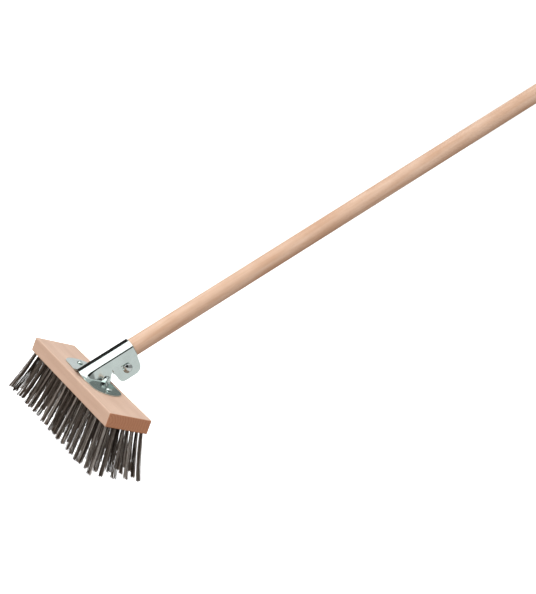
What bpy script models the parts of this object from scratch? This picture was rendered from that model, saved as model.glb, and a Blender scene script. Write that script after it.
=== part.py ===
"""A steel-wire scrubbing brush: a wooden block set with wire tufts, and a pressed-steel
holder that clamps a round wooden handle.

Metres, +Z up. The origin is the centre of the block's long front face. X runs along the
block, and the handle rises towards +Y.
"""

import math

import bmesh
import bpy
from mathutils import Matrix, Vector

MM = 0.001
GAP = 0.3 * MM  # between pieces that touch

# Block
BLOCK_LENGTH = 255 * MM
BLOCK_WIDTH = 60 * MM
BLOCK_HEIGHT = 19 * MM
BLOCK_EDGE = 1.4 * MM
TOP = BLOCK_HEIGHT / 2
UNDERSIDE = -BLOCK_HEIGHT / 2
MIDDLE_Y = BLOCK_WIDTH / 2

# Wire tufts
COLUMNS = 20
ROWS = 5
TUFT_PITCH = 12.5 * MM
TUFT_ROOT_RADIUS = 2.4 * MM
TUFT_TIP_RADIUS = 2.9 * MM
TUFT_DROP = 61 * MM  # from the underside down to the longest trimmed tips
TUFT_DEPTH = 8.5 * MM  # how far the holes go into the block
TUFT_HOLE_RADIUS = TUFT_ROOT_RADIUS + 0.4 * MM
SPREAD_ALONG = 0.176  # how much wider the tips stand than the roots, along the block
SPREAD_ACROSS = 0.41  # the same, across the block
TUFT_SIDES = 8
TIE_WIDTH = 1.6 * MM
TIE_HEIGHT = 1.2 * MM

# Handle
HANDLE_RADIUS = 12 * MM
HANDLE_LENGTH = 1400 * MM
HANDLE_TILT = math.radians(46)  # above the block's top face
HANDLE_FOOT = Vector((0, MIDDLE_Y - 7 * MM, TOP))  # where its axis meets the top face
HANDLE_START = 12.6 * MM  # from the foot to the handle's lower end
HANDLE_ROUNDING = 5 * MM
HANDLE_CHAMFER = 1 * MM

# Holder, pressed from one sheet. Its profile lies across the handle's axis.
SHEET = 1 * MM
SOCKET_CLEARANCE = 0.25 * MM
SOCKET_MOUTH = 69 * MM  # from the foot, along the handle
CHEEK_LEAN = math.radians(5)
CHEEK_MIDDLE = HANDLE_RADIUS + SOCKET_CLEARANCE + SHEET / 2
CREASE_HEIGHT = 8 * MM
CHEEK_BOTTOM = -5.5 * MM
CREASE_BEND = 1 * MM
PLATE_LENGTH = 125 * MM
PLATE_FRONT = MIDDLE_Y - 19.5 * MM  # the apron under the socket's front end
APRON_WIDTH = 44 * MM
WING_FRONT = MIDDLE_Y - 18.5 * MM
WING_BACK = MIDDLE_Y + 22.5 * MM
PLATE_BASE = TOP + GAP
PLATE_TOP = PLATE_BASE + SHEET
CHEEK_BACK = MIDDLE_Y + 20.5 * MM
NOTCH_ALONG = 30 * MM
LUG_MIDDLE = 10.9 * MM
LUG_JOG = 4 * MM
LUG_DEPTH = -30.5 * MM

# Fasteners
SCREWS = {
    "plate_screw_left": (-46 * MM, MIDDLE_Y + 2.5 * MM),
    "plate_screw_right": (44.5 * MM, MIDDLE_Y + 5 * MM),
}
SCREW_RADIUS = 1.9 * MM
SCREW_CORE = 1.45 * MM
SCREW_LENGTH = 10 * MM
SCREW_HEAD_RADIUS = 4.1 * MM
SCREW_HEAD_HEIGHT = 2.7 * MM
SCREW_RINGS = 5
BOLT_ALONG = 50 * MM
BOLT_HEIGHT = -16 * MM
BOLT_RADIUS = 2.9 * MM
BOLT_HEAD_RADIUS = 6.5 * MM
BOLT_HEAD_HEIGHT = 3.3 * MM
BOLT_NECK = 6.2 * MM
WASHER_RADIUS = 6.25 * MM
WASHER_THICKNESS = 1.4 * MM
NUT_ACROSS_FLATS = 10 * MM
NUT_HEIGHT = 5 * MM
BOLT_END = 2.2 * MM  # thread showing past the nut

LUG_OUTSIDE = LUG_MIDDLE + SHEET / 2
TO_HOLDER = Matrix.Translation(HANDLE_FOOT) @ Matrix.Rotation(HANDLE_TILT, 4, "X")


def clear_scene():
    for obj in list(bpy.data.objects):
        bpy.data.objects.remove(obj, do_unlink=True)


def new_collection(name):
    collection = bpy.data.collections.new(name)
    bpy.context.scene.collection.children.link(collection)
    return collection


def new_material(name, colour, roughness, metallic=0.0):
    material = bpy.data.materials.new(name)
    material.use_nodes = True
    shader = material.node_tree.nodes["Principled BSDF"]
    shader.inputs["Base Color"].default_value = (*colour, 1)
    shader.inputs["Roughness"].default_value = roughness
    shader.inputs["Metallic"].default_value = metallic
    return material


def new_object(name, bm, material=None, matrix=None):
    """A mesh object of the brush, or a cutter where no material is given."""
    mesh = bpy.data.meshes.new(name)
    bm.to_mesh(mesh)
    bm.free()
    obj = bpy.data.objects.new(name, mesh)
    if matrix is not None:
        obj.matrix_world = matrix
    if material is None:
        CUTTERS.objects.link(obj)
        obj.hide_render = True
        obj.display_type = "WIRE"
    else:
        BRUSH.objects.link(obj)
        mesh.materials.append(material)
    return obj


def boolean(obj, operation, other):
    modifier = obj.modifiers.new(f"{operation} {other.name}", "BOOLEAN")
    modifier.operation = operation
    modifier.solver = "EXACT"
    modifier.object = other


def box(low, high):
    """A box between two corners."""
    bm = bmesh.new()
    bmesh.ops.create_cube(bm, size=1)
    size = Vector(high) - Vector(low)
    middle = (Vector(high) + Vector(low)) / 2
    bmesh.ops.scale(bm, vec=size, verts=bm.verts)
    bmesh.ops.translate(bm, vec=middle, verts=bm.verts)
    return bm


def cylinder(radius, length, sides, turn=None):
    """A cylinder about Z from z = 0 up, turned by a matrix."""
    bm = bmesh.new()
    bmesh.ops.create_cone(
        bm, cap_ends=True, segments=sides, radius1=radius, radius2=radius, depth=length
    )
    bmesh.ops.translate(bm, vec=(0, 0, length / 2), verts=bm.verts)
    if turn is not None:
        bmesh.ops.transform(bm, matrix=turn, verts=bm.verts)
    return bm


def outline(corners, thickness):
    """A flat shape in XY with rounded corners, given as (x, y, radius), extruded to +Z."""
    bm = bmesh.new()
    points = []
    count = len(corners)
    for index, (x, y, radius) in enumerate(corners):
        here = Vector((x, y))
        before = (Vector(corners[index - 1][:2]) - here).normalized()
        after = (Vector(corners[(index + 1) % count][:2]) - here).normalized()
        if radius == 0:
            points.append(here)
            continue
        half = before.angle(after) / 2
        centre = here + (before + after).normalized() * radius / math.sin(half)
        start = here + before * radius / math.tan(half)
        sweep = math.pi - 2 * half
        steps = max(3, round(math.degrees(sweep) / 9))
        turning = -1 if before.cross(after) > 0 else 1
        arm = start - centre
        for step in range(steps + 1):
            angle = turning * sweep * step / steps
            points.append(centre + Matrix.Rotation(angle, 2) @ arm)
    face = bm.faces.new([bm.verts.new((p.x, p.y, 0)) for p in points])
    extruded = bmesh.ops.extrude_face_region(bm, geom=[face])["geom"]
    verts = [item for item in extruded if isinstance(item, bmesh.types.BMVert)]
    bmesh.ops.translate(bm, vec=(0, 0, thickness), verts=verts)
    bmesh.ops.recalc_face_normals(bm, faces=bm.faces)
    return bm


def turned(name, profile, steps, material=None, matrix=None):
    """A solid turned about Z from an (r, z) profile that starts and ends on the axis."""
    bm = bmesh.new()
    verts = [bm.verts.new((r, 0, z)) for r, z in profile]
    for first, second in zip(verts, verts[1:]):
        bm.edges.new((first, second))
    obj = new_object(name, bm, material, matrix)
    screw = obj.modifiers.new("Turn", "SCREW")
    screw.steps = steps
    screw.render_steps = steps
    screw.use_merge_vertices = True
    screw.merge_threshold = 0.00001
    screw.use_normal_calculate = True
    return obj


def folded_sheet(name, path, start, end, folds, matrix):
    """A sheet that follows a path in XZ, from y = start to end, with its sharp folds rounded."""
    bm = bmesh.new()
    verts = [bm.verts.new((x, start, z)) for x, z in path]
    edges = [bm.edges.new(pair) for pair in zip(verts, verts[1:])]
    bends = [verts[index] for index in folds]
    bmesh.ops.bevel(
        bm, geom=bends, offset=CREASE_BEND, segments=4, profile=0.5, affect="VERTICES"
    )
    grown = bmesh.ops.extrude_edge_only(bm, edges=list(bm.edges))["geom"]
    moved = [item for item in grown if isinstance(item, bmesh.types.BMVert)]
    bmesh.ops.translate(bm, vec=(0, end - start, 0), verts=moved)
    bmesh.ops.recalc_face_normals(bm, faces=bm.faces)
    obj = new_object(name, bm, None, matrix)
    solidify = obj.modifiers.new("Sheet", "SOLIDIFY")
    solidify.thickness = SHEET
    solidify.offset = 0
    solidify.use_even_offset = True
    return obj


def hull(points):
    bm = bmesh.new()
    verts = [bm.verts.new(point) for point in points]
    bmesh.ops.convex_hull(bm, input=verts)
    bmesh.ops.recalc_face_normals(bm, faces=bm.faces)
    return bm


def column_x(column):
    return (column - (COLUMNS - 1) / 2) * TUFT_PITCH


def row_y(row):
    return MIDDLE_Y + (row - (ROWS - 1) / 2) * TUFT_PITCH


def make_tuft(bm, x, y):
    """One tuft: upright in its hole, then leaning out to its trimmed tip."""
    made = bmesh.ops.create_cone(
        bm,
        cap_ends=True,
        segments=TUFT_SIDES,
        radius1=TUFT_TIP_RADIUS,
        radius2=TUFT_ROOT_RADIUS,
        depth=TUFT_DROP,
    )["verts"]
    tip_shift = Vector((x * SPREAD_ALONG, (y - MIDDLE_Y) * SPREAD_ACROSS, 0))
    root_ring = [vert for vert in made if vert.co.z > 0]
    tip_ring = [vert for vert in made if vert.co.z < 0]
    bmesh.ops.translate(bm, vec=(x, y, UNDERSIDE - TUFT_DROP / 2), verts=made)
    bmesh.ops.translate(bm, vec=tip_shift, verts=tip_ring)
    cap = next(face for face in bm.faces if set(face.verts) == set(root_ring))
    grown = bmesh.ops.extrude_face_region(bm, geom=[cap])["geom"]
    upper = [item for item in grown if isinstance(item, bmesh.types.BMVert)]
    bmesh.ops.translate(bm, vec=(0, 0, TUFT_DEPTH - GAP), verts=upper)
    if cap.is_valid:
        bm.faces.remove(cap)


def make_tuft_columns():
    """Each column holds the tufts of one line across the block, tied at their roots."""
    for column in range(COLUMNS):
        x = column_x(column)
        bm = bmesh.new()
        for row in range(ROWS):
            make_tuft(bm, x, row_y(row))
        bmesh.ops.recalc_face_normals(bm, faces=bm.faces)
        tufts = new_object(f"wire_tufts_{column + 1:02d}", bm, WIRE)
        reach = TIE_WIDTH / 2
        tie = box(
            (x - reach, row_y(0), UNDERSIDE - GAP - TIE_HEIGHT),
            (x + reach, row_y(ROWS - 1), UNDERSIDE - GAP),
        )
        boolean(tufts, "UNION", new_object(f"tie {column + 1}", tie))


def make_block():
    bm = box(
        (-BLOCK_LENGTH / 2, 0, UNDERSIDE),
        (BLOCK_LENGTH / 2, BLOCK_WIDTH, TOP),
    )
    block = new_object("wooden_block", bm, BEECH)
    edge = block.modifiers.new("Eased edges", "BEVEL")
    edge.width = BLOCK_EDGE
    edge.segments = 2
    holes = bmesh.new()
    for column in range(COLUMNS):
        for row in range(ROWS):
            made = bmesh.ops.create_cone(
                holes,
                cap_ends=True,
                segments=TUFT_SIDES,
                radius1=TUFT_HOLE_RADIUS,
                radius2=TUFT_HOLE_RADIUS,
                depth=2 * TUFT_DEPTH,
            )["verts"]
            centre = (column_x(column), row_y(row), UNDERSIDE)
            bmesh.ops.translate(holes, vec=centre, verts=made)
    boolean(block, "DIFFERENCE", new_object("tuft holes", holes))
    for name, (x, y) in SCREWS.items():
        pilot = cylinder(SCREW_RADIUS + GAP, 2 * SCREW_LENGTH, 16)
        bottom = PLATE_TOP - SCREW_LENGTH - GAP
        bmesh.ops.translate(pilot, vec=(x, y, bottom), verts=pilot.verts)
        boolean(block, "DIFFERENCE", new_object(f"pilot hole of {name}", pilot))


def socket_path():
    """The sheet's middle line over the handle: an arch, a crease and a cheek on each side."""
    crease_x = (CHEEK_MIDDLE - CREASE_HEIGHT * math.sin(CHEEK_LEAN)) / math.cos(CHEEK_LEAN)
    rise = CHEEK_MIDDLE - CREASE_HEIGHT
    arch = (crease_x**2 + rise**2) / (2 * rise)
    middle = CHEEK_MIDDLE - arch
    reach = math.asin(crease_x / arch)
    path = [cheek_point(-14 * MM)]
    steps = 16
    for step in range(steps + 1):
        angle = reach * (1 - 2 * step / steps)
        path.append((arch * math.sin(angle), middle + arch * math.cos(angle)))
    low_x, low_z = path[0]
    path.append((-low_x, low_z))
    return path, (1, steps + 1)


def cheek_point(height):
    """The point of the +X cheek's middle line at this height over the handle's axis."""
    x = (CHEEK_MIDDLE - height * math.sin(CHEEK_LEAN)) / math.cos(CHEEK_LEAN)
    return x, height


def make_socket():
    """The tunnel over the handle, trimmed at the plate, the front edge and the back."""
    path, folds = socket_path()
    socket = folded_sheet(
        "socket sheet", path, -35 * MM, SOCKET_MOUTH, folds, TO_HOLDER
    )
    wide = 200 * MM
    below = box((-wide, -wide, -wide), (wide, wide, PLATE_BASE + SHEET / 2))
    boolean(socket, "DIFFERENCE", new_object("below the plate", below))
    front = box((-wide, -wide, -wide), (wide, PLATE_FRONT, wide))
    boolean(socket, "DIFFERENCE", new_object("before the front edge", front))
    notch = TO_HOLDER @ Vector((0, NOTCH_ALONG, CHEEK_BOTTOM))
    mouth = TO_HOLDER @ Vector((0, SOCKET_MOUTH + 20 * MM, CHEEK_BOTTOM))
    waist = CHEEK_BACK - 0.5 * MM
    behind = outline(
        (
            (CHEEK_BACK, 0, 0),
            (CHEEK_BACK, TOP + 11 * MM, 4 * MM),
            (waist, notch.z, 0),
            (notch.y, notch.z, 0),
            (mouth.y, mouth.z, 0),
            (mouth.y + 40 * MM, 0, 0),
        ),
        80 * MM,
    )
    across = Matrix(((0, 0, 1, -40 * MM), (1, 0, 0, 0), (0, 1, 0, 0), (0, 0, 0, 1)))
    bmesh.ops.transform(behind, matrix=across, verts=behind.verts)
    boolean(socket, "DIFFERENCE", new_object("behind the cheeks", behind))
    return socket


def make_lug(side):
    """One clamp lug: it leaves the cheek, steps in under the handle and hangs down."""
    top = cheek_point(CHEEK_BOTTOM + 3 * MM)
    fold = cheek_point(CHEEK_BOTTOM)
    path = [
        top,
        fold,
        (LUG_MIDDLE, CHEEK_BOTTOM - LUG_JOG),
        (LUG_MIDDLE, LUG_DEPTH - 5 * MM),
    ]
    path = [(side * x, z) for x, z in path]
    lug = folded_sheet(
        f"lug sheet {side}", path, NOTCH_ALONG - 5 * MM, SOCKET_MOUTH, (1, 2), TO_HOLDER
    )
    shape = outline(
        (
            (NOTCH_ALONG + 0.3 * MM, 0, 0),
            (NOTCH_ALONG + 0.3 * MM, CHEEK_BOTTOM, 0),
            (34.5 * MM, LUG_DEPTH, 6.5 * MM),
            (66 * MM, LUG_DEPTH, 10 * MM),
            (SOCKET_MOUTH - 0.2 * MM, CHEEK_BOTTOM, 0),
            (SOCKET_MOUTH - 0.2 * MM, 0, 0),
        ),
        60 * MM,
    )
    across = Matrix(((0, 0, 1, -30 * MM), (1, 0, 0, 0), (0, 1, 0, 0), (0, 0, 0, 1)))
    cutter = new_object(f"lug outline {side}", shape, None, TO_HOLDER @ across)
    boolean(lug, "INTERSECT", cutter)
    return lug


def make_flare(side):
    """The pressed flare that spreads the tunnel's front end onto the plate."""
    low = PLATE_BASE + 0.5 * MM
    edge = PLATE_FRONT + 0.05 * MM
    points = [
        (21 * MM, edge, PLATE_TOP + 0.1 * MM),
        (21 * MM, edge, low),
        (5 * MM, edge, TOP + 5.2 * MM),
        (5 * MM, edge, low),
        (12.9 * MM, MIDDLE_Y - 9.8 * MM, TOP + 9.4 * MM),
        (12.4 * MM, MIDDLE_Y - 9.8 * MM, low),
        (13.9 * MM, MIDDLE_Y - 6.3 * MM, PLATE_TOP + 0.1 * MM),
        (12.8 * MM, MIDDLE_Y - 6.3 * MM, low),
    ]
    return new_object(f"flare {side}", hull([(side * x, y, z) for x, y, z in points]))


def make_dart(side):
    """The stiffening dart pressed across the bend between cheek and plate."""
    low = PLATE_BASE + 0.5 * MM
    points = [
        (13.0 * MM, MIDDLE_Y + 16.4 * MM, TOP + 9.5 * MM),
        (13.0 * MM, MIDDLE_Y + 11 * MM, low),
        (13.0 * MM, MIDDLE_Y + 19.6 * MM, low),
        (33 * MM, MIDDLE_Y + 5 * MM, PLATE_TOP + 0.1 * MM),
        (32 * MM, MIDDLE_Y + 5 * MM, low),
    ]
    return new_object(f"dart {side}", hull([(side * x, y, z) for x, y, z in points]))


def make_holder():
    half = PLATE_LENGTH / 2
    round_end = (WING_BACK - WING_FRONT) / 2 - 0.01 * MM
    apron = APRON_WIDTH / 2
    plate = outline(
        (
            (-half, WING_FRONT, round_end),
            (-apron - 3 * MM, WING_FRONT, 4 * MM),
            (-apron, PLATE_FRONT, 3 * MM),
            (apron, PLATE_FRONT, 3 * MM),
            (apron + 3 * MM, WING_FRONT, 4 * MM),
            (half, WING_FRONT, round_end),
            (half, WING_BACK, round_end),
            (-half, WING_BACK, round_end),
        ),
        SHEET,
    )
    bmesh.ops.translate(plate, vec=(0, 0, PLATE_BASE), verts=plate.verts)
    holder = new_object("handle_holder", plate, ZINC)
    window = box(
        (-11.8 * MM, PLATE_FRONT - 5 * MM, PLATE_BASE - 5 * MM),
        (11.8 * MM, WING_BACK + 5 * MM, PLATE_TOP + 5 * MM),
    )
    boolean(holder, "DIFFERENCE", new_object("plate window", window))
    boolean(holder, "UNION", make_socket())
    for side in (-1, 1):
        boolean(holder, "UNION", make_lug(side))
        boolean(holder, "UNION", make_flare(side))
        boolean(holder, "UNION", make_dart(side))
    for name, (x, y) in SCREWS.items():
        hole = cylinder(SCREW_RADIUS + 0.5 * MM, 10 * MM, 24)
        bmesh.ops.translate(hole, vec=(x, y, PLATE_BASE - 5 * MM), verts=hole.verts)
        boolean(holder, "DIFFERENCE", new_object(f"plate hole of {name}", hole))
    room = cylinder(HANDLE_RADIUS + SOCKET_CLEARANCE, 200 * MM, 64)
    lay = TO_HOLDER @ Matrix.Rotation(-math.pi / 2, 4, "X")
    boolean(holder, "DIFFERENCE", new_object("handle room", room, None, lay))
    bore = cylinder(BOLT_RADIUS + 0.4 * MM, 60 * MM, 32)
    boolean(holder, "DIFFERENCE", new_object("bolt hole", bore, None, bolt_frame(-30 * MM)))
    neck = BOLT_NECK / 2 + GAP
    square = box((-neck, -neck, 0), (neck, neck, 20 * MM))
    boolean(holder, "DIFFERENCE", new_object("neck hole", square, None, bolt_frame(5 * MM)))


def bolt_frame(x):
    """A frame on the bolt's axis at this X, with its Z along +X."""
    turn = Matrix.Rotation(math.pi / 2, 4, "Y")
    return TO_HOLDER @ Matrix.Translation((x, BOLT_ALONG, BOLT_HEIGHT)) @ turn


def dome(radius, height, base, steps):
    """Profile points of a round head, from its rim at z = base up to the axis."""
    ball = (radius**2 + height**2) / (2 * height)
    reach = math.asin(min(1.0, radius / ball))
    centre = base + height - ball
    points = []
    for step in range(steps + 1):
        angle = reach * (1 - step / steps)
        points.append((ball * math.sin(angle), centre + ball * math.cos(angle)))
    return points


def make_screw(name, x, y, turn):
    """A round-head wood screw with a cross recess; its origin is under the head."""
    seat = Matrix.Translation((x, y, PLATE_TOP + GAP))
    plain = 3 * MM
    point = 2.5 * MM
    profile = [(0, -SCREW_LENGTH)]
    pitch = (SCREW_LENGTH - plain - point) / SCREW_RINGS
    for ring in range(SCREW_RINGS):
        base = -SCREW_LENGTH + point + ring * pitch
        profile.append((SCREW_CORE, base))
        profile.append((SCREW_RADIUS, base + 0.45 * pitch))
        profile.append((SCREW_RADIUS, base + 0.55 * pitch))
    profile.append((SCREW_CORE, -plain))
    profile.append((SCREW_RADIUS, -plain + 0.3 * MM))
    profile.append((SCREW_RADIUS, 0))
    profile.append((SCREW_HEAD_RADIUS, 0))
    rim = 0.5 * MM
    profile += dome(SCREW_HEAD_RADIUS, SCREW_HEAD_HEIGHT - rim, rim, 6)
    screw = turned(name, profile, 24, SCREW_STEEL, seat)
    for quarter in (0, math.pi / 2):
        slot = box(
            (-2.1 * MM, -0.42 * MM, SCREW_HEAD_HEIGHT - 1.5 * MM),
            (2.1 * MM, 0.42 * MM, SCREW_HEAD_HEIGHT + 2 * MM),
        )
        matrix = seat @ Matrix.Rotation(turn + quarter, 4, "Z")
        cutter = new_object(f"recess {quarter:.0f} of {name}", slot, None, matrix)
        boolean(screw, "DIFFERENCE", cutter)


def make_bolt():
    """A mushroom-head carriage bolt through both lugs, head on the +X lug."""
    shaft_end = -(LUG_OUTSIDE + 3 * GAP + WASHER_THICKNESS + NUT_HEIGHT + BOLT_END)
    seat = LUG_OUTSIDE + GAP
    chamfer = 0.6 * MM
    profile = [
        (0, shaft_end - seat),
        (BOLT_RADIUS - chamfer, shaft_end - seat),
        (BOLT_RADIUS, shaft_end - seat + chamfer),
        (BOLT_RADIUS, 0),
        (BOLT_HEAD_RADIUS, 0),
    ]
    profile += dome(BOLT_HEAD_RADIUS, BOLT_HEAD_HEIGHT - 0.5 * MM, 0.5 * MM, 8)
    bolt = turned("clamp_bolt", profile, 40, ZINC_BOLT, bolt_frame(seat))
    half = BOLT_NECK / 2
    neck = box((-half, -half, -2.5 * MM), (half, half, 0.8 * MM))
    boolean(bolt, "UNION", new_object("square neck", neck, None, bolt_frame(seat)))


def make_washer_and_nut():
    washer_face = -(LUG_OUTSIDE + GAP)
    washer_back = washer_face - WASHER_THICKNESS
    washer = cylinder(WASHER_RADIUS, WASHER_THICKNESS, 40)
    ring = new_object("clamp_washer", washer, ZINC_BOLT, bolt_frame(washer_back))
    hole = cylinder(BOLT_RADIUS + 0.4 * MM, 10 * MM, 32)
    boolean(ring, "DIFFERENCE", new_object("washer hole", hole, None, bolt_frame(washer_back - 5 * MM)))
    nut_back = washer_back - GAP - NUT_HEIGHT
    corner = NUT_ACROSS_FLATS / math.sqrt(3)
    hexagon = cylinder(corner, NUT_HEIGHT, 6)
    nut = new_object("clamp_nut", hexagon, ZINC_BOLT, bolt_frame(nut_back))
    cone = (
        (0, -MM),
        (corner - 1.7 * MM, -MM),
        (corner + 0.1 * MM, 0.8 * MM),
        (corner + 0.1 * MM, NUT_HEIGHT - 0.8 * MM),
        (corner - 1.7 * MM, NUT_HEIGHT + MM),
        (0, NUT_HEIGHT + MM),
    )
    boolean(nut, "INTERSECT", turned("nut chamfers", cone, 40, None, bolt_frame(nut_back)))
    thread = cylinder(BOLT_RADIUS + GAP, 12 * MM, 32)
    boolean(nut, "DIFFERENCE", new_object("nut thread", thread, None, bolt_frame(nut_back - 4 * MM)))


def make_handle():
    """The round handle, in its own frame with Z up the handle from the holder's foot."""
    end = HANDLE_START + HANDLE_LENGTH
    profile = [
        (0, HANDLE_START),
        (HANDLE_RADIUS - HANDLE_CHAMFER, HANDLE_START),
        (HANDLE_RADIUS, HANDLE_START + HANDLE_CHAMFER),
    ]
    steps = 5
    for step in range(steps + 1):
        angle = math.pi / 2 * step / steps
        radius = HANDLE_RADIUS - HANDLE_ROUNDING * (1 - math.cos(angle))
        profile.append((radius, end - HANDLE_ROUNDING * (1 - math.sin(angle))))
    profile.append((0, end))
    turn = TO_HOLDER @ Matrix.Rotation(-math.pi / 2, 4, "X")
    turned("wooden_handle", profile, 64, HANDLE_WOOD, turn)


def group_under_joints():
    """Parents the head's pieces to an empty on the slide's axis, and the nut to one on the bolt's."""
    head = bpy.data.objects.new("head_slide", None)
    head.matrix_world = TO_HOLDER
    spin = bpy.data.objects.new("nut_spin", None)
    spin.matrix_world = bolt_frame(-LUG_OUTSIDE)
    for empty in (head, spin):
        BRUSH.objects.link(empty)
    bpy.context.view_layer.update()
    for obj in list(BRUSH.objects):
        if obj.type != "MESH" or obj.name == "wooden_handle":
            continue
        parent = spin if obj.name == "clamp_nut" else head
        obj.parent = parent
        obj.matrix_parent_inverse = parent.matrix_world.inverted()


clear_scene()
BRUSH = new_collection("wire_scrubbing_brush")
CUTTERS = new_collection("cutters")
BEECH = new_material("block wood", (0.62, 0.41, 0.27), 0.6)
HANDLE_WOOD = new_material("handle wood", (0.80, 0.62, 0.43), 0.5)
WIRE = new_material("steel wire", (0.10, 0.095, 0.09), 0.45, 0.8)
ZINC = new_material("zinc-plated sheet", (0.48, 0.55, 0.55), 0.28, 1.0)
ZINC_BOLT = new_material("zinc-plated bolt", (0.55, 0.58, 0.58), 0.25, 1.0)
SCREW_STEEL = new_material("screw steel", (0.42, 0.47, 0.46), 0.3, 1.0)

make_block()
make_tuft_columns()
make_holder()
for number, (screw_name, (screw_x, screw_y)) in enumerate(SCREWS.items()):
    make_screw(screw_name, screw_x, screw_y, 0.5 - number)
make_bolt()
make_washer_and_nut()
make_handle()
group_under_joints()
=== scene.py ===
"""The looks of the wire scrubbing brush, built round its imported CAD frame.

Metres, +Z up. The origin is the centre of the block's long front face. X runs along the
block, and the handle rises towards +Y.
"""

import math
import random

import bmesh
import bpy
from mathutils import Matrix, Vector


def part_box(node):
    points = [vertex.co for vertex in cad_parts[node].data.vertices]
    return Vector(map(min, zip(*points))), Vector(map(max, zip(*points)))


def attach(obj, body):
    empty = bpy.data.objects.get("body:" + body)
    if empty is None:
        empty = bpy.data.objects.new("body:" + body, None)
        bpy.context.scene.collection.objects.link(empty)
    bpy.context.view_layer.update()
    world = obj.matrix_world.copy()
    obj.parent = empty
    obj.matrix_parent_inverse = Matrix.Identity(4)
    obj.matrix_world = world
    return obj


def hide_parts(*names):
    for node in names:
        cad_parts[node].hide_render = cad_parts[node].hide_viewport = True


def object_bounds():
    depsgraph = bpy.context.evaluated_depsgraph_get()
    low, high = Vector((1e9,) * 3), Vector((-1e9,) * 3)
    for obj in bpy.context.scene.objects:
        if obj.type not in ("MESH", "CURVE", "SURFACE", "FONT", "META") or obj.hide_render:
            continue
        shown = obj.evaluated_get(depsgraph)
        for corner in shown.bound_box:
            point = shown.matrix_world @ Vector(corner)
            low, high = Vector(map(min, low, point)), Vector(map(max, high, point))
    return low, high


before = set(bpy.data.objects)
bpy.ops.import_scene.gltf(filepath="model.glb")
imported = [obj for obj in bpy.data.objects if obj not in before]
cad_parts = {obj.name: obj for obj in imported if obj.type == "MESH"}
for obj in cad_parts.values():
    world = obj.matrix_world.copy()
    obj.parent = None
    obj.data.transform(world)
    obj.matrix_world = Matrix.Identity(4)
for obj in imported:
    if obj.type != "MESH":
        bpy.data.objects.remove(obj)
CAD_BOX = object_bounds()

MM = 0.001
SEED = 41

# Block
BLOCK_LOW, BLOCK_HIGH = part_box("wooden_block")
TOP = BLOCK_HIGH.z
UNDERSIDE = BLOCK_LOW.z
MIDDLE_Y = (BLOCK_LOW.y + BLOCK_HIGH.y) / 2

# Handle and holder, which share the frame TO_HOLDER: Y up the handle, Z out of its back
HANDLE_RADIUS = 12 * MM
HANDLE_TILT = math.radians(46)
FOOT = Vector((0, MIDDLE_Y - 7 * MM, TOP))
TO_HOLDER = Matrix.Translation(FOOT) @ Matrix.Rotation(HANDLE_TILT, 4, "X")
HANDLE_START = 12.6 * MM
HANDLE_END = HANDLE_START + 1400 * MM
HANDLE_ROUNDING = 5 * MM
SHEET = 1 * MM
GAP = 0.3 * MM
PLATE_TOP = TOP + GAP + SHEET

# Tufts
COLUMNS = 20
ROWS = 5
TUFT_PITCH = 12.5 * MM
TUFT_ROOT_RADIUS = 2.2 * MM
TUFT_ROOT_DEPTH = 3 * MM
TUFT_LEAN = 0.8 * MM  # how far a tip strays from its place
TUFT_SHORTFALL = (0.1, 3.2)  # in millimetres, short of the longest
TUFT_GROWTH = (0.1, 0.5)  # from root to tip
TUFT_SPLIT = 0.9 * MM
SPREAD_ALONG = 0.157
SPREAD_ACROSS = 0.40
TIP_LOW = CAD_BOX[0].z

# Wires
WIRES_PER_TUFT = 40
WIRE_RADIUS = 0.25 * MM
WIRE_STEPS = 9
WIRE_SPREAD = 0.35 * MM
STRAY_SPREAD = 1.3 * MM
STRAY_SHARE = 0.12
WIRE_BEND = 0.35 * MM
WIRE_CRIMP = 0.16 * MM
CRIMP_TURNS = 21  # radians along the wire
WIRE_SHORTFALL = 1.3 * MM
STRANDS = 7  # groups of like tone round a tuft
STRAND_SHARE = 0.72
GOLDEN_ANGLE = math.pi * (3 - math.sqrt(5))

# Holder: the outer face of one pressed sheet
SOCKET_MOUTH = 68.9 * MM
CHEEK_LEAN = math.radians(5)
CHEEK_OUTSIDE = HANDLE_RADIUS + 0.25 * MM + SHEET
CREASE_HEIGHT = 8.2 * MM
CREASE_X = (CHEEK_OUTSIDE - CREASE_HEIGHT * math.sin(CHEEK_LEAN)) / math.cos(CHEEK_LEAN)
CREASE_BEND = 1.5 * MM
ARCH_RISE = CHEEK_OUTSIDE - CREASE_HEIGHT
ARCH_RADIUS = (CREASE_X**2 + ARCH_RISE**2) / (2 * ARCH_RISE)
ARCH_MIDDLE = CHEEK_OUTSIDE - ARCH_RADIUS
CHEEK_BOTTOM = -5.5 * MM
NOTCH_ALONG = 30 * MM
NOTCH = TO_HOLDER @ Vector((0, NOTCH_ALONG, CHEEK_BOTTOM))
SPLIT = 0.42  # the share of the cheek above the notch, in the last cut
FROM_HOLDER = TO_HOLDER.inverted()

# The plate under it, and the arch's front end
PLATE_FRONT = MIDDLE_Y - 19.5 * MM
PLATE_BACK = MIDDLE_Y + 20.6 * MM
WING_FRONT = MIDDLE_Y - 18.5 * MM
WING_BACK = MIDDLE_Y + 22.5 * MM
WING_END = 62.5 * MM
WING_RADIUS = (WING_BACK - WING_FRONT) / 2
FRONT_SHOULDER = (20 * MM, 33 * MM)
BACK_SHOULDER = (15 * MM, 19 * MM)
FRONT_LEAN = -0.6
FRONT_STEP = 1.5 * MM
FRONT_BEND = 1 * MM
NOSE_START = PLATE_FRONT - 3 * MM
NOSE_END = MIDDLE_Y - 7.6 * MM
FOOT_BEND = 1.5 * MM
FLARE = 4.5 * MM
FLARE_END = MIDDLE_Y + 6 * MM

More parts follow.
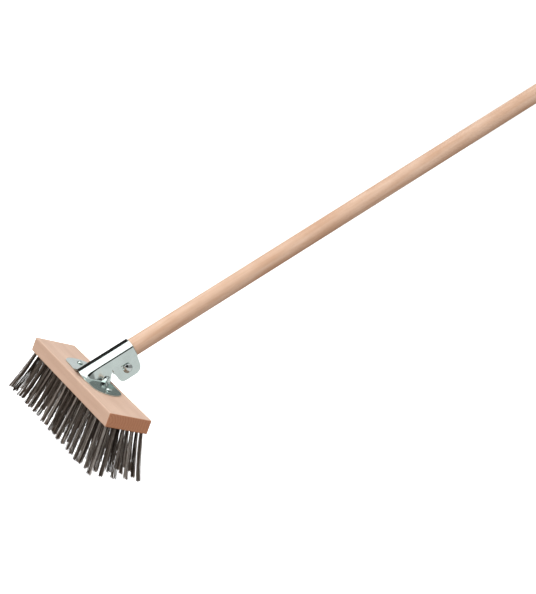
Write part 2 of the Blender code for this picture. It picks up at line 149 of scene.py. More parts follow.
# The dart across each cheek's foot
DART_CREST = Vector((13.3 * MM, MIDDLE_Y + 15.6 * MM, TOP + 9.8 * MM))
DART_TOE = Vector((33 * MM, MIDDLE_Y + 4.5 * MM, PLATE_TOP))
DART_DEPTH = 0.62  # of the way from the foot's corner to a straight line from crest to toe
DART_FRONT = 5.6 * MM
DART_BEHIND = 4.2 * MM
DART_TAPER = 0.45
DART_EASE = 0.15

# Lugs
LUG_OUTSIDE = 11.4 * MM
LUG_JOG = 4 * MM
LUG_BEND = 1.1 * MM
LUG_DEPTH = -30.5 * MM
LUG_FOOT = (34.5 * MM, 66.5 * MM)  # start and stop along the handle, at the bottom
LUG_CORNERS = (6.5 * MM, 10 * MM)

# Steps of the sheet's grid
SECTIONS = 100
ARCH_STEPS = 14
BEND_STEPS = 6
CHEEK_STEPS = 12
WING_STEPS = 34
ROUND_STEPS = 12
UPPER_ROWS = 26
LUG_STEPS = 16

# Fasteners
BOLT_ALONG = 50 * MM
BOLT_HEIGHT = -16 * MM
BOLT_RADIUS = 2.9 * MM
BOLT_CORE = 2.45 * MM
BOLT_HEAD_RADIUS = 6.5 * MM
BOLT_HEAD_EDGE = 0.5 * MM
BOLT_HEAD_DOME = 2.8 * MM
BOLT_THREAD = 12 * MM
WASHER_HOLE = 3.3 * MM
WASHER_RADIUS = 6.25 * MM
WASHER_THICKNESS = 1.4 * MM
NUT_HEIGHT = 5 * MM
BOLT_SHOWING = 2.2 * MM  # thread past the nut
SCREW_LENGTH = 10 * MM
SCREW_RADIUS = 1.9 * MM
SCREW_CORE = 1.45 * MM
SCREW_HEAD_RADIUS = 4.1 * MM
SCREW_HEAD_EDGE = 0.45 * MM
SCREW_HEAD_DOME = 2.25 * MM
RECESS = (4.2 * MM, 0.84 * MM, 3 * MM)
RECESS_TAPER = 0.62
RECESS_HEIGHT = 2.7 * MM


# ---------------------------------------------------------------- materials


class Nodes:
    """Builds one material's nodes with short calls."""

    def __init__(self, name):
        self.material = bpy.data.materials.new(name)
        self.material.use_nodes = True
        self.tree = self.material.node_tree
        self.shader = self.tree.nodes["Principled BSDF"]
        self.place = self.add("ShaderNodeTexCoord").outputs["Object"]

    def add(self, kind, **settings):
        node = self.tree.nodes.new(kind)
        for key, value in settings.items():
            setattr(node, key, value)
        return node

    def link(self, source, target):
        self.tree.links.new(source, target)

    def set(self, **values):
        for name, value in values.items():
            self.shader.inputs[name.replace("_", " ")].default_value = value

    def mapping(self, scale=(1, 1, 1), turn=(0, 0, 0)):
        node = self.add("ShaderNodeMapping")
        node.inputs["Scale"].default_value = scale
        node.inputs["Rotation"].default_value = turn
        self.link(self.place, node.inputs["Vector"])
        return node.outputs["Vector"]

    def noise(self, source, scale, detail=3.0, roughness=0.5, distortion=0.0):
        node = self.add("ShaderNodeTexNoise")
        self.link(source, node.inputs["Vector"])
        node.inputs["Scale"].default_value = scale
        node.inputs["Detail"].default_value = detail
        node.inputs["Roughness"].default_value = roughness
        node.inputs["Distortion"].default_value = distortion
        return node.outputs["Fac"]

    def ramp(self, source, *stops):
        """Colours at positions, as (position, colour) pairs; a number stands for a grey."""
        node = self.add("ShaderNodeValToRGB")
        elements = node.color_ramp.elements
        while len(elements) < len(stops):
            elements.new(0.5)
        for element, (position, colour) in zip(elements, stops):
            element.position = position
            grey = isinstance(colour, (int, float))
            element.color = (colour, colour, colour, 1) if grey else (*colour, 1)
        self.link(source, node.inputs["Fac"])
        return node.outputs["Color"]

    def mix(self, factor, first, second, blend="MIX"):
        node = self.add("ShaderNodeMix", data_type="RGBA", blend_type=blend)
        for index, value in ((0, factor), (6, first), (7, second)):
            socket = node.inputs[index]
            if isinstance(value, bpy.types.NodeSocket):
                self.link(value, socket)
            elif isinstance(value, tuple):
                socket.default_value = (*value, 1)
            else:
                socket.default_value = value
        return node.outputs[2]

    def maths(self, operation, first, second=0.0):
        node = self.add("ShaderNodeMath", operation=operation)
        for socket, value in zip(node.inputs, (first, second)):
            if isinstance(value, bpy.types.NodeSocket):
                self.link(value, socket)
            else:
                socket.default_value = value
        return node.outputs[0]

    def bump(self, height, strength, distance):
        node = self.add("ShaderNodeBump")
        node.inputs["Strength"].default_value = strength
        node.inputs["Distance"].default_value = distance
        self.link(height, node.inputs["Height"])
        self.link(node.outputs["Normal"], self.shader.inputs["Normal"])

    def colour(self, source):
        self.link(source, self.shader.inputs["Base Color"])

    def roughness(self, source):
        self.link(source, self.shader.inputs["Roughness"])


def stretched(axis, amount):
    """A scale that draws a pattern out along one axis."""
    scale = [1.0, 1.0, 1.0]
    scale[axis] = amount
    return tuple(scale)


def end_grain(n, base, pale, deep):
    """Growth rings and open pores on the faces that look along X, over the base colour."""
    facing = n.add("ShaderNodeSeparateXYZ")
    n.link(n.add("ShaderNodeTexCoord").outputs["Normal"], facing.inputs["Vector"])
    ends = n.ramp(n.maths("ABSOLUTE", facing.outputs["X"]), (0.6, 0.0), (0.8, 1.0))
    rings = n.add("ShaderNodeTexWave", wave_type="RINGS", rings_direction="X")
    n.link(n.place, rings.inputs["Vector"])
    rings.inputs["Scale"].default_value = 90
    rings.inputs["Distortion"].default_value = 4
    rings.inputs["Detail"].default_value = 2
    colour = n.ramp(rings.outputs["Fac"], (0.1, deep), (0.8, pale))
    pores = n.ramp(n.noise(n.place, 1600, 2), (0.38, 0.7), (0.5, 1.0))
    return n.mix(ends, base, n.mix(0.7, colour, pores, "MULTIPLY"))


def beech(name, pale, deep, along, tilt=0.0, ends=None):
    """Plain sanded beech, its grain along X (0), or along Y (1) after turning back by a tilt."""
    n = Nodes(name)
    n.place = n.mapping(turn=(-tilt, 0, 0))
    long_grain = n.mapping(stretched(along, 0.06))
    broad = n.noise(long_grain, 90, 4, 0.55, 0.6)
    fine = n.noise(long_grain, 900, 3, 0.6)
    cloudy = n.noise(n.place, 14, 3)
    base = n.ramp(broad, (0.3, deep), (0.7, pale))
    base = n.mix(0.35, base, n.ramp(cloudy, (0.3, deep), (0.75, pale)))
    flecks = n.add("ShaderNodeTexVoronoi")
    n.link(n.mapping(stretched(along, 0.22)), flecks.inputs["Vector"])
    flecks.inputs["Scale"].default_value = 520
    spots = n.ramp(flecks.outputs["Distance"], (0.05, 0.78), (0.22, 1.0))
    base = n.mix(0.5, base, spots, "MULTIPLY")
    if ends is not None:
        base = end_grain(n, base, *ends)
    n.colour(base)
    n.roughness(n.ramp(fine, (0.3, 0.5), (0.7, 0.62)))
    n.bump(n.maths("ADD", fine, n.maths("MULTIPLY", broad, 0.6)), 0.25, 0.0004)
    n.set(Specular_IOR_Level=0.35)
    return n.material


def drawn_steel():
    """Dark oily steel wire; each wire has its own tone, and worn streaks along it."""
    n = Nodes("steel_wire_dark")
    tone = n.add("ShaderNodeAttribute", attribute_name="wire_tone").outputs["Fac"]
    streaks = n.noise(n.mapping((1, 1, 0.1)), 500, 3, 0.6)
    dark, middle, bright = (0.045, 0.034, 0.026), (0.23, 0.19, 0.16), (0.84, 0.78, 0.72)
    base = n.ramp(tone, (0.1, dark), (0.55, middle), (0.9, bright))
    base = n.mix(0.55, base, n.ramp(streaks, (0.35, 0.45), (0.65, 1.0)), "MULTIPLY")
    n.colour(base)
    n.roughness(n.ramp(streaks, (0.3, 0.30), (0.7, 0.5)))
    n.bump(streaks, 0.15, 0.0001)
    n.set(Metallic=0.7)
    return n.material


def bright_zinc(name, tint, smooth, rough):
    """Bright zinc plate: faint cloudiness in its gloss, and fine rubbing marks."""
    n = Nodes(name)
    cloud = n.noise(n.place, 45, 4, 0.6)
    rub = n.noise(n.mapping((1, 0.15, 1), (0.8, 0, 0.3)), 900, 2, 0.6)
    darker = tuple(c * 0.86 for c in tint)
    n.colour(n.ramp(cloud, (0.3, darker), (0.7, tint)))
    gloss = n.maths("ADD", n.maths("MULTIPLY", cloud, 0.6), n.maths("MULTIPLY", rub, 0.4))
    n.roughness(n.ramp(gloss, (0.3, smooth), (0.7, rough)))
    n.bump(rub, 0.05, 0.0001)
    n.set(Metallic=1.0)
    return n.material


BLOCK_WOOD = beech(
    "beech_block", (0.61, 0.43, 0.325), (0.49, 0.325, 0.24), 0,
    ends=((0.43, 0.198, 0.108), (0.385, 0.17, 0.09)),
)
HANDLE_WOOD = beech(
    "pale_handle_wood", (0.67, 0.50, 0.385), (0.45, 0.255, 0.15), 1, HANDLE_TILT
)
WIRE = drawn_steel()
ZINC_SHEET = bright_zinc("zinc_sheet_bright", (0.66, 0.75, 0.72), 0.08, 0.14)
ZINC_BOLT = bright_zinc("zinc_bolt_bright", (0.70, 0.76, 0.74), 0.10, 0.18)
SCREW_STEEL = bright_zinc("screw_zinc_bright", (0.64, 0.74, 0.70), 0.10, 0.18)


# ---------------------------------------------------------------- pieces


def new_piece(name, bm, material, body, slot, *nodes):
    """A mesh piece that rides on a body and stands for CAD nodes."""
    mesh = bpy.data.meshes.new(name)
    bm.to_mesh(mesh)
    bm.free()
    for polygon in mesh.polygons:
        polygon.use_smooth = True
    mesh.materials.append(material)
    obj = bpy.data.objects.new(name, mesh)
    bpy.context.scene.collection.objects.link(obj)
    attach(obj, body)
    if nodes:
        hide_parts(*nodes)
    return obj


def wire(bm, path, radius, tones, tone, sides=4):
    """A thin wire along a path of points, closed at both ends, with its own tone."""
    rings = []
    for index, point in enumerate(path):
        before = path[max(index - 1, 0)]
        after = path[min(index + 1, len(path) - 1)]
        direction = (after - before).normalized()
        across = direction.cross(Vector((0.3, 1, 0.1))).normalized()
        other = direction.cross(across)
        ring = []
        for side in range(sides):
            angle = 2 * math.pi * (side + 0.5) / sides
            offset = (across * math.cos(angle) + other * math.sin(angle)) * radius
            vert = bm.verts.new(point + offset)
            vert[tones] = tone
            ring.append(vert)
        rings.append(ring)
    for low, high in zip(rings, rings[1:]):
        for side in range(sides):
            after = (side + 1) % sides
            bm.faces.new((low[side], low[after], high[after], high[side]))
    bm.faces.new(rings[0][::-1])
    bm.faces.new(rings[-1])


def inside(point):
    """The same point, kept a wire's thickness inside the tufts' outline."""
    room = 1.5 * WIRE_RADIUS
    low, high = CAD_BOX
    x = max(low.x + room, min(high.x - room, point.x))
    return Vector((x, max(low.y + room, point.y), max(low.z + room, point.z)))


def scatter(chance, size):
    """A random offset in X and Y of this usual size."""
    return Vector((chance.gauss(0, size), chance.gauss(0, size), 0))


def tuft_wires(bm, x, y, chance):
    """One tuft: wires packed in their hole, hardly splayed, with its own lean and length."""
    lean = Vector((x * SPREAD_ALONG, (y - MIDDLE_Y) * SPREAD_ACROSS, 0))
    lean += scatter(chance, TUFT_LEAN)
    whole = UNDERSIDE - TIP_LOW - chance.uniform(*TUFT_SHORTFALL) * MM
    growth = chance.uniform(*TUFT_GROWTH)
    split = scatter(chance, 1).normalized() * chance.uniform(0, TUFT_SPLIT)
    strands = [chance.random() for _ in range(STRANDS)]
    tones = bm.verts.layers.float["wire_tone"]
    for number in range(WIRES_PER_TUFT):
        turn = number * GOLDEN_ANGLE
        share = math.sqrt((number + 0.5) / WIRES_PER_TUFT)
        root = Vector((math.cos(turn), math.sin(turn), 0)) * TUFT_ROOT_RADIUS * share
        side = 1 if root.dot(split) > 0 else -1
        spread = root * growth + split * side
        spread += scatter(chance, STRAY_SPREAD if chance.random() < STRAY_SHARE else WIRE_SPREAD)
        bend = scatter(chance, WIRE_BEND)
        crimp = Vector((chance.uniform(-1, 1), chance.uniform(-1, 1), 0)) * WIRE_CRIMP
        phase = chance.uniform(0, 6.3)
        length = whole - abs(chance.gauss(0, WIRE_SHORTFALL))
        strand = int(turn / (2 * math.pi) * STRANDS) % STRANDS
        tone = STRAND_SHARE * strands[strand] + (1 - STRAND_SHARE) * chance.random()
        path = []
        for step in range(WIRE_STEPS + 1):
            t = step / WIRE_STEPS
            z = UNDERSIDE + TUFT_ROOT_DEPTH - (length + TUFT_ROOT_DEPTH) * t
            flat = Vector((x, y, 0)) + root + lean * (0.75 * t + 0.25 * t * t) + spread * t
            flat += bend * math.sin(math.pi * t) + crimp * math.sin(phase + CRIMP_TURNS * t)
            path.append(inside(Vector((flat.x, flat.y, z))))
        wire(bm, path, WIRE_RADIUS, tones, tone)


def make_tufts():
    """One piece for each column of tufts, five tufts deep."""
    for column in range(COLUMNS):
        x = (column - (COLUMNS - 1) / 2) * TUFT_PITCH
        chance = random.Random(SEED + column)
        bm = bmesh.new()
        bm.verts.layers.float.new("wire_tone")
        for row in range(ROWS):
            y = MIDDLE_Y + (row - (ROWS - 1) / 2) * TUFT_PITCH
            tuft_wires(bm, x, y, chance)
        node = f"wire_tufts_{column + 1:02d}"
        new_piece(f"tuft_wires_{column + 1:02d}", bm, WIRE, "head", "steel_wire", node)


def make_handle():
    """The turned wooden shaft, its end rounded over."""
    profile = [
        (0, HANDLE_START),
        (HANDLE_RADIUS - 1 * MM, HANDLE_START),
        (HANDLE_RADIUS - 0.3 * MM, HANDLE_START + 0.3 * MM),
        (HANDLE_RADIUS, HANDLE_START + 1 * MM),
    ]
    lengths = 48
    for step in range(1, lengths):
        profile.append((HANDLE_RADIUS, lerp(HANDLE_START, HANDLE_END, step / lengths)))
    steps = 8
    for step in range(steps + 1):
        angle = math.pi / 2 * step / steps
        radius = HANDLE_RADIUS - HANDLE_ROUNDING * (1 - math.cos(angle))
        profile.append((radius, HANDLE_END - HANDLE_ROUNDING * (1 - math.sin(angle))))
    profile.append((0, HANDLE_END))
    bm = lathe(profile, 96)
    upright = TO_HOLDER @ Matrix.Rotation(-math.pi / 2, 4, "X")
    bmesh.ops.transform(bm, matrix=upright, verts=bm.verts)
    new_piece("handle_shaft", bm, HANDLE_WOOD, "handle", "handle_wood", "wooden_handle")


# ---------------------------------------------------------------- holder


def smooth_step(value, low, high):
    """0 below low, 1 above high, and a smooth ease between them."""
    t = max(0.0, min(1.0, (value - low) / (high - low)))
    return t * t * (3 - 2 * t)


def lerp(a, b, t):
    return a + (b - a) * t


def arch_point(x):
    """Height over the handle's axis of the arch's outer face."""
    return ARCH_MIDDLE + math.sqrt(ARCH_RADIUS**2 - x * x)


def cheek_x(height):
    """X of the cheek's outer face at this height over the handle's axis."""
    return (CHEEK_OUTSIDE - height * math.sin(CHEEK_LEAN)) / math.cos(CHEEK_LEAN)


def in_holder(point):
    return FROM_HOLDER @ point


class Section:
    """One cut across the holder: a plane that leans forward, less so towards the notch."""

    def __init__(self, t):
        self.y = lerp(PLATE_FRONT, PLATE_BACK, t)
        self.lean = lerp(FRONT_LEAN, (NOTCH.y - PLATE_BACK) / (NOTCH.z - PLATE_TOP), t)
        self.nose = smooth_step(self.y, NOSE_START, NOSE_END)

    def place(self, x, z):
        return Vector((x, self.y + self.lean * (z - PLATE_TOP), z))

    def along(self, x, height):
        """The point of this cut at an (x, height) of the handle's frame."""
        up, out = math.sin(HANDLE_TILT), math.cos(HANDLE_TILT)
        far = self.y + self.lean * (FOOT.z + height * out - PLATE_TOP) - FOOT.y + height * up
        return TO_HOLDER @ Vector((x, far / (out - self.lean * up), height))

    def half(self):
        """Points from the arch's crown down to the foot of the cheek, with the bends rounded."""
        corner_x = self.corner_x()
        corner = self.along(corner_x, arch_point(corner_x))
        land = self.landing()
        soft = lerp(FRONT_BEND, CREASE_BEND, self.nose)
        end = math.asin(corner_x / ARCH_RADIUS) - soft / ARCH_RADIUS
        points = []
        for step in range(ARCH_STEPS + 1):
            angle = end * step / ARCH_STEPS
            x = ARCH_RADIUS * math.sin(angle)
            points.append(self.along(x, arch_point(x)))
        down = (land - corner).normalized()
        leave = corner + down * soft
        points += bent(points[-1], corner, leave, BEND_STEPS)
        foot_soft = lerp(FRONT_BEND, FOOT_BEND, self.nose)
        arrive = land - down * foot_soft
        split = leave.lerp(arrive, SPLIT)
        for start, stop in ((leave, split), (split, arrive)):
            points += [start.lerp(stop, step / CHEEK_STEPS) for step in range(1, CHEEK_STEPS + 1)]
        points += bent(arrive, land, self.place(land.x + foot_soft, PLATE_TOP), BEND_STEPS)
        return points

    def corner_x(self):
        """Where the arch stops: at the crease, or just over the plate near the front."""
        near, far = 0.0, CREASE_X
        if self.along(far, arch_point(far)).z >= PLATE_TOP + FRONT_STEP:
            return far
        for _ in range(30):
            middle = (near + far) / 2
            if self.along(middle, arch_point(middle)).z > PLATE_TOP + FRONT_STEP:
                near = middle
            else:
                far = middle
        return near

    def landing(self):
        """Where the cheek meets the plate, flaring out towards the front."""
        height = in_holder(Vector((0, self.y, PLATE_TOP))).z
        x = cheek_x(height) + FLARE * (1 - smooth_step(self.y, PLATE_FRONT, FLARE_END))
        return self.place(x, PLATE_TOP)


def bent(start, corner, stop, steps):
    """Points of a rounded bend after its start, up to its stop."""
    found = []
    for step in range(1, steps + 1):
        t = step / steps
        found.append(start * (1 - t) ** 2 + corner * 2 * t * (1 - t) + stop * t * t)
    return found


def plate_edge(x):
    """The plate's front and back edges at this X."""
    front = lerp(PLATE_FRONT, WING_FRONT, smooth_step(x, *FRONT_SHOULDER))
    back = lerp(PLATE_BACK, WING_BACK, smooth_step(x, *BACK_SHOULDER))
    past = x - (WING_END - WING_RADIUS)
    if past > 0:
        middle = (WING_BACK + WING_FRONT) / 2
        half = math.sqrt(max(WING_RADIUS**2 - past**2, 0))
        front, back = middle - half, middle + half
    return front, back


def wing(start, t):
    """Points of one row of the plate's wing, from the cheek's foot out to its round end."""
    points = []
    round_start = WING_END - WING_RADIUS
    for step in range(1, WING_STEPS + 1):
        points.append(lerp(start.x, round_start, step / WING_STEPS))
    for step in range(1, ROUND_STEPS + 1):
        angle = math.radians(88) * step / ROUND_STEPS
        points.append(round_start + WING_RADIUS * math.sin(angle))
    row = []
    for x in points:
        front, back = plate_edge(x)
        row.append(Vector((x, lerp(front, back, t), PLATE_TOP)))
    return row


def pressed_dart(point):
    """Lifts a point of the sheet onto the rounded dart pressed across the cheek's foot."""
    reach = (point.x - DART_CREST.x) / (DART_TOE.x - DART_CREST.x)
    reach += (point.z - PLATE_TOP) / (DART_CREST.z - PLATE_TOP)
    if reach >= 1:
        return point
    slope = 1 / (DART_TOE.x - DART_CREST.x) + 1 / (DART_CREST.z - PLATE_TOP)
    push = Vector((1, 0, 1)).normalized()
    lift = DART_DEPTH * (1 - max(reach, -0.2)) / (slope * push.x)
    moved = point + push * lift
    share = (moved.x - DART_CREST.x) / (DART_TOE.x - DART_CREST.x)
    across = moved.y - lerp(DART_CREST.y, DART_TOE.y, share)
    width = (DART_FRONT if across < 0 else DART_BEHIND) * (1.1 - DART_TAPER * share)
    fall = math.cos(math.pi / 2 * min(1.0, abs(across) / width)) ** 1.5
    ease = min(1.0, (1 - reach) / DART_EASE)
    return point + push * lift * fall * ease


def lug_edges(height):
    """Where a lug starts and stops along the handle, at this height over its axis."""
    t = (CHEEK_BOTTOM - height) / (CHEEK_BOTTOM - LUG_DEPTH)
    start = lerp(NOTCH_ALONG, LUG_FOOT[0], t)
    stop = lerp(SOCKET_MOUTH, LUG_FOOT[1], t)
    cuts = []
    for radius in LUG_CORNERS:
        past = max(LUG_DEPTH + radius - height, 0)
        cuts.append(radius - math.sqrt(max(radius**2 - past**2, 0)))
    return start + cuts[0], stop - cuts[1]


def lug_profile():
    """(x, height) down one lug's outer face: a step in under the handle, then straight."""
    top = Vector((cheek_x(CHEEK_BOTTOM), CHEEK_BOTTOM))
    step_in = Vector((LUG_OUTSIDE, CHEEK_BOTTOM - LUG_JOG))
    along = (step_in - top).normalized()
    soft = LUG_BEND
    profile = [top + along * soft, step_in - along * soft]
    profile += bent(step_in - along * soft, step_in, step_in + Vector((0, -soft)), BEND_STEPS)
    start = profile[-1].y
    for step in range(1, LUG_STEPS + 1):
        share = math.sin(math.pi / 2 * step / LUG_STEPS)
        profile.append(Vector((LUG_OUTSIDE, lerp(start, LUG_DEPTH + 0.02 * MM, share))))
    return profile


def holder_grids():
    """The half sheet on the +X side, as grids of points that share their edges."""
    rows = []
    for index in range(SECTIONS + 1):
        t = index / SECTIONS
        points = Section(t).half()
        points += wing(points[-1], t)
        rows.append([pressed_dart(point) for point in points])
    split = ARCH_STEPS + BEND_STEPS + CHEEK_STEPS
    profile = lug_profile()
    last = [in_holder(point) for point in rows[-1][: split + 1]]
    upper, lug = [rows[-1][: split + 1]], []
    for index in range(UPPER_ROWS + 1):
        t = index / UPPER_ROWS
        if index:
            upper.append(
                [TO_HOLDER @ Vector((p.x, lerp(p.y, SOCKET_MOUTH, t), p.z)) for p in last]
            )
        row = [upper[-1][-1]]
        for x, height in profile:
            start, stop = lug_edges(height)
            row.append(TO_HOLDER @ Vector((x, lerp(start, stop, t), height)))
        lug.append(row)
    return rows, upper, lug


def make_holder():
    """The pressed sheet: arch, cheeks, wings, lugs and darts in one skin, then its thickness."""
    bm = bmesh.new()
    for side in (1, -1):
        for grid in holder_grids():
            verts = [[bm.verts.new((side * p.x, p.y, p.z)) for p in row] for row in grid]
            for low, high in zip(verts, verts[1:]):
                for a, b, c, d in zip(low, low[1:], high[1:], high):
                    bm.faces.new((a, b, c, d) if side > 0 else (d, c, b, a))
    bmesh.ops.remove_doubles(bm, verts=bm.verts, dist=0.00001)
    bmesh.ops.recalc_face_normals(bm, faces=bm.faces)
    near_crown = Vector((0, 0.045, 0.05))
    crown = min(bm.faces, key=lambda face: (face.calc_center_median() - near_crown).length)
    if crown.normal.z < 0:
        bmesh.ops.reverse_faces(bm, faces=bm.faces)
    holder = new_piece("holder_sheet", bm, ZINC_SHEET, "head", "zinc_sheet", "handle_holder")
    solidify = holder.modifiers.new("Sheet", "SOLIDIFY")
    solidify.thickness = SHEET
    solidify.offset = -1
    solidify.use_even_offset = True
    rounded = holder.modifiers.new("Cut edges", "BEVEL")
    rounded.width = 0.16 * MM
    rounded.segments = 2
    rounded.limit_method = "ANGLE"
    rounded.angle_limit = math.radians(50)
    keep_modifiers(holder)


def keep_modifiers(obj, sharp=50):
    """Replaces the mesh with what its modifiers make, smooth but for edges over an angle."""
    graph = bpy.context.evaluated_depsgraph_get()
    mesh = bpy.data.meshes.new_from_object(obj.evaluated_get(graph))
    mesh.name = obj.name
    obj.modifiers.clear()
    obj.data = mesh
    mesh.set_sharp_from_angle(angle=math.radians(sharp))


# ---------------------------------------------------------------- fasteners


def bolt_frame(x):
    """A frame on the bolt's axis at this X, with its Z along +X."""
    turn = Matrix.Rotation(math.pi / 2, 4, "Y")
    return TO_HOLDER @ Matrix.Translation((x, BOLT_ALONG, BOLT_HEIGHT)) @ turn


def dome(radius, height, base, steps):
    """Profile points of a round head, from its rim at z = base up to the axis."""
    ball = (radius**2 + height**2) / (2 * height)
    reach = math.asin(min(1.0, radius / ball))
    centre = base + height - ball
    angles = [reach * (1 - step / steps) for step in range(steps + 1)]
    return [(ball * math.sin(angle), centre + ball * math.cos(angle)) for angle in angles]


def lathe(profile, steps=72):
    """A solid turned about Z from (r, z) points."""
    bm = bmesh.new()
    verts = [bm.verts.new((r, 0, z)) for r, z in profile]
    edges = [bm.edges.new(pair) for pair in zip(verts, verts[1:])]
    if profile[0] == profile[-1]:
        edges.append(bm.edges.new((verts[-1], verts[0])))
    bmesh.ops.spin(
        bm, geom=verts + edges, cent=(0, 0, 0), axis=(0, 0, 1), angle=2 * math.pi, steps=steps
    )
    bmesh.ops.remove_doubles(bm, verts=bm.verts, dist=0.000002)
    bmesh.ops.recalc_face_normals(bm, faces=bm.faces)
    return bm


def threads(core, outer, low, high, count):
    """(r, z) points of a run of thread rings."""
    points = []
    pitch = (high - low) / count
    for ring in range(count):
        base = low + ring * pitch
        points += [(core, base), (outer, base + 0.42 * pitch), (outer, base + 0.58 * pitch)]
    return points


def seat(obj, matrix, sharp=40):
    """Puts a piece in place, applies its modifiers and keeps its corners sharp."""
    obj.matrix_world = matrix
    bpy.context.view_layer.update()
    keep_modifiers(obj, sharp)


def make_screw(name, x, y, turn):
    """A round-head wood screw with a cross recess and a threaded shank."""
    profile = [(0, -SCREW_LENGTH)]
    profile += threads(SCREW_CORE, SCREW_RADIUS, -SCREW_LENGTH + 2.5 * MM, -3 * MM, 5)
    profile += [(SCREW_CORE, -3 * MM), (SCREW_RADIUS, -2.7 * MM), (SCREW_RADIUS, 0)]
    profile += [(SCREW_HEAD_RADIUS - 0.2 * MM, 0), (SCREW_HEAD_RADIUS, 0.15 * MM)]
    profile += dome(SCREW_HEAD_RADIUS, SCREW_HEAD_DOME, SCREW_HEAD_EDGE, 14)
    obj = new_piece(f"{name}_round_head", lathe(profile), SCREW_STEEL, "head", "screw_steel", name)
    place = Matrix.Translation((x, y, PLATE_TOP + GAP)) @ Matrix.Rotation(turn, 4, "Z")
    cutters = []
    for quarter in (0, math.pi / 2):
        bm = bmesh.new()
        bmesh.ops.create_cube(bm, size=1)
        bmesh.ops.scale(bm, vec=RECESS, verts=bm.verts)
        for vert in bm.verts:
            if vert.co.z < 0:
                vert.co.x *= RECESS_TAPER
        bmesh.ops.translate(bm, vec=(0, 0, RECESS_HEIGHT), verts=bm.verts)
        mesh = bpy.data.meshes.new(f"recess_{quarter:.0f}")
        bm.to_mesh(mesh)
        bm.free()
        cutter = bpy.data.objects.new(mesh.name, mesh)
        cutter.matrix_world = place @ Matrix.Rotation(quarter, 4, "Z")
        bpy.context.scene.collection.objects.link(cutter)
        cut = obj.modifiers.new("Recess", "BOOLEAN")
        cut.operation = "DIFFERENCE"
        cut.solver = "EXACT"
        cut.object = cutter
        cutters.append(cutter)
    seat(obj, place)
    for cutter in cutters:
        bpy.data.objects.remove(cutter)


def make_bolt():
    """A mushroom-head bolt with a threaded end."""
    end = -(2 * LUG_OUTSIDE + 4 * GAP + WASHER_THICKNESS + NUT_HEIGHT + BOLT_SHOWING)
    profile = [(0, end), (2.3 * MM, end)]
    profile += threads(BOLT_CORE, BOLT_RADIUS, end + 0.5 * MM, end + BOLT_THREAD, 12)
    profile += [(BOLT_RADIUS, end + BOLT_THREAD + 0.5 * MM), (BOLT_RADIUS, 0)]
    profile += [(BOLT_HEAD_RADIUS - 0.3 * MM, 0), (BOLT_HEAD_RADIUS, 0.2 * MM)]
    profile += dome(BOLT_HEAD_RADIUS, BOLT_HEAD_DOME, BOLT_HEAD_EDGE, 20)
    bm = lathe(profile)
    obj = new_piece("clamp_bolt_mushroom_head", bm, ZINC_BOLT, "head", "zinc_bolt", "clamp_bolt")
    seat(obj, bolt_frame(LUG_OUTSIDE + GAP))


def make_washer():
    """The plain washer under the nut."""
    low, high = WASHER_HOLE, WASHER_RADIUS
    thick, soft = WASHER_THICKNESS, 0.2 * MM
    profile = [
        (low, soft), (low + soft, 0), (high - soft, 0), (high, soft),
        (high, thick - soft), (high - soft, thick), (low + soft, thick), (low, thick - soft),
        (low, soft),
    ]
    bm = lathe(profile)
    obj = new_piece("clamp_washer_ring", bm, ZINC_BOLT, "head", "zinc_bolt", "clamp_washer")
    seat(obj, bolt_frame(-(LUG_OUTSIDE + GAP + thick)))


make_tufts()
make_handle()
make_holder()
make_screw("plate_screw_left", -46 * MM, MIDDLE_Y + 2.5 * MM, 0.5)
make_screw("plate_screw_right", 44.5 * MM, MIDDLE_Y + 5 * MM, -0.5)
make_bolt()
make_washer()

CARRIED_OVER = {
    "wooden_block": (BLOCK_WOOD, "block_wood"),
    "clamp_nut": (ZINC_BOLT, "zinc_bolt"),
}
for node, (material, slot) in CARRIED_OVER.items():
    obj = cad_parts[node]
    obj.data.materials.clear()
    obj.data.materials.append(material)


# ---------------------------------------------------------------- stage


HEAD = Vector((0, 0.035, 0.02))
HEAD_TRAVEL = 50 * MM  # down the handle; the floor lies clear below it
CAMERA_PLACE = Vector((1.66784, -0.90071, 0.52886))
CAMERA_AIM = Vector((0.1246, 0.1564, 0.1957))
CAMERA_ROLL = math.radians(21.124)


def toward(azimuth, elevation, distance):
    """The point at this azimuth from +X, elevation and distance, seen from the head."""
    a, e = math.radians(azimuth), math.radians(elevation)
    flat = math.cos(e)
    return HEAD + distance * Vector((math.cos(a) * flat, math.sin(a) * flat, math.sin(e)))


def ribbon(name, stations, distance, strength):
    """A card bent round the head, from (azimuth, lowest, highest) stations."""
    bm = bmesh.new()
    rails = [
        [bm.verts.new(toward(azimuth, height, distance)) for height in (low, high)]
        for azimuth, low, high in stations
    ]
    for (a, b), (c, d) in zip(rails, rails[1:]):
        bm.faces.new((a, c, d, b))
    mesh = bpy.data.meshes.new(name)
    bm.to_mesh(mesh)
    bm.free()
    card = bpy.data.objects.new(name, mesh)
    material = bpy.data.materials.new(name)
    material.use_nodes = True
    shader = material.node_tree.nodes["Principled BSDF"]
    shader.inputs["Base Color"].default_value = (0.02, 0.02, 0.02, 1)
    shader.inputs["Roughness"].default_value = 1
    shader.inputs["Emission Color"].default_value = (1, 1, 1, 1)
    shader.inputs["Emission Strength"].default_value = strength
    mesh.materials.append(material)
    bpy.context.scene.collection.objects.link(card)
    card.visible_camera = False
    card.visible_shadow = False
    card.visible_diffuse = False


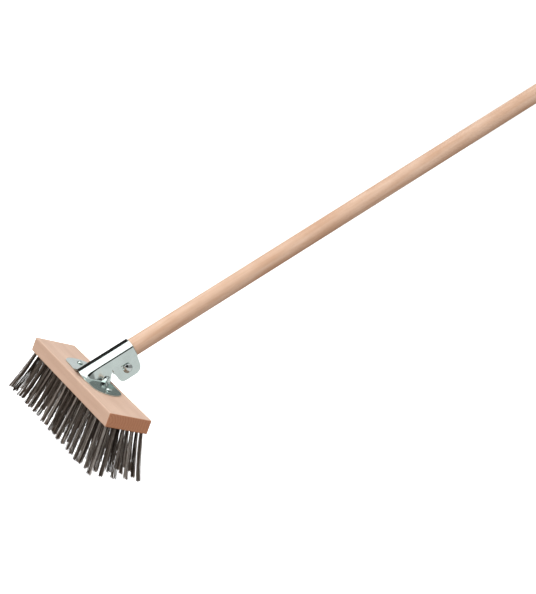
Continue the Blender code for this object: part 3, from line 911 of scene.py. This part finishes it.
def make_stage():
    """The pale floor, the lights, and the cards the metal reflects."""
    floor_z = CAD_BOX[0].z - 0.5 * MM - HEAD_TRAVEL * math.sin(HANDLE_TILT)
    bm = bmesh.new()
    bmesh.ops.create_grid(bm, x_segments=1, y_segments=1, size=12)
    mesh = bpy.data.meshes.new("floor")
    bm.to_mesh(mesh)
    bm.free()
    floor = bpy.data.objects.new("floor", mesh)
    floor.location = (0, 0, floor_z)
    floor.visible_diffuse = False
    floor.visible_glossy = False
    bpy.context.scene.collection.objects.link(floor)
    n = Nodes("pale_floor")
    n.colour(n.ramp(n.noise(n.place, 3, 2), (0.3, 0.93), (0.7, 0.95)))
    n.set(Roughness=1.0, Specular_IOR_Level=0.0, Emission_Color=(1, 1, 1, 1), Emission_Strength=0.6)
    mesh.materials.append(n.material)
    make_world()

    for name, place, size, power in (
        ("key_softbox", (0.35, -1.75, 0.9), 1.1, 27.5),
        ("top_softbox", (-0.5, -0.1, 2.0), 1.6, 14.5),
        ("end_softbox", (1.9, 0.3, 0.5), 0.8, 9),
    ):
        light = bpy.data.lights.new(name, "AREA")
        light.shape = "SQUARE"
        light.size = size
        light.energy = power
        lamp = bpy.data.objects.new(name, light)
        lamp.location = place
        lamp.rotation_mode = "QUATERNION"
        lamp.rotation_quaternion = (Vector(place) - HEAD).to_track_quat("Z", "Y")
        lamp.visible_glossy = False
        bpy.context.scene.collection.objects.link(lamp)

    ribbon("dark_card_right", [(-40, 4, 48), (-10, 4, 48), (10, 5, 46)], 0.9, 0)
    ribbon("teal_card_right", [(10, 5, 46), (20, 5, 45), (60, 4, 42), (95, 0, 38)], 0.9, 0.3)
    left = [
        (138, -34, -8), (150, -30, -2), (160, -20, 8), (170, -14, 18), (180, -6, 29),
        (190, 4, 36), (200, 12, 40), (210, 20, 42), (214, 26, 42),
    ]
    ribbon("dark_card_left", left, 0.9, 0)
    top = [(200, 36, 82), (210, 30, 85), (235, 24, 85), (280, 26, 82), (325, 38, 78)]
    ribbon("bright_card_top", top, 1.1, 2.0)
    ribbon("grey_card_low", [(-30, -35, 1), (10, -35, 2), (50, -35, 2), (95, -35, -2)], 1.0, 0.8)


def make_world():
    """White to the camera; for everything else, bright above the horizon and dim below it."""
    world = bpy.data.worlds.new("studio")
    world.use_nodes = True
    tree = world.node_tree
    background = tree.nodes["Background"]
    direction = tree.nodes.new("ShaderNodeTexCoord").outputs["Generated"]
    split = tree.nodes.new("ShaderNodeSeparateXYZ")
    tree.links.new(direction, split.inputs["Vector"])
    ramp = tree.nodes.new("ShaderNodeValToRGB")
    low, high = ramp.color_ramp.elements
    low.position, low.color = 0.4, (0.33, 0.25, 0.20, 1)
    high.position, high.color = 0.62, (0.78, 0.79, 0.80, 1)
    shift = tree.nodes.new("ShaderNodeMapRange")
    shift.inputs["From Min"].default_value = -1
    tree.links.new(split.outputs["Z"], shift.inputs["Value"])
    tree.links.new(shift.outputs["Result"], ramp.inputs["Fac"])
    tree.links.new(ramp.outputs["Color"], background.inputs["Color"])
    white = tree.nodes.new("ShaderNodeBackground")
    white.inputs["Color"].default_value = (1, 1, 1, 1)
    white.inputs["Strength"].default_value = 1.1
    path = tree.nodes.new("ShaderNodeLightPath")
    mix = tree.nodes.new("ShaderNodeMixShader")
    tree.links.new(path.outputs["Is Camera Ray"], mix.inputs[0])
    tree.links.new(background.outputs["Background"], mix.inputs[1])
    tree.links.new(white.outputs["Background"], mix.inputs[2])
    tree.links.new(mix.outputs["Shader"], tree.nodes["World Output"].inputs["Surface"])
    bpy.context.scene.world = world


def make_camera():
    """A long lens from the front right, a little above the block, rolled to the right."""
    data = bpy.data.cameras.new("camera")
    data.sensor_width = 36
    data.lens = 92.515
    data.clip_end = 50
    camera = bpy.data.objects.new("camera", data)
    place = Matrix.Translation(CAMERA_PLACE)
    facing = (CAMERA_PLACE - CAMERA_AIM).to_track_quat("Z", "Y").to_matrix().to_4x4()
    camera.matrix_world = place @ facing @ Matrix.Rotation(CAMERA_ROLL, 4, "Z")
    bpy.context.scene.collection.objects.link(camera)
    bpy.context.scene.camera = camera


make_stage()
make_camera()
bpy.context.scene.view_settings.view_transform = "Standard"
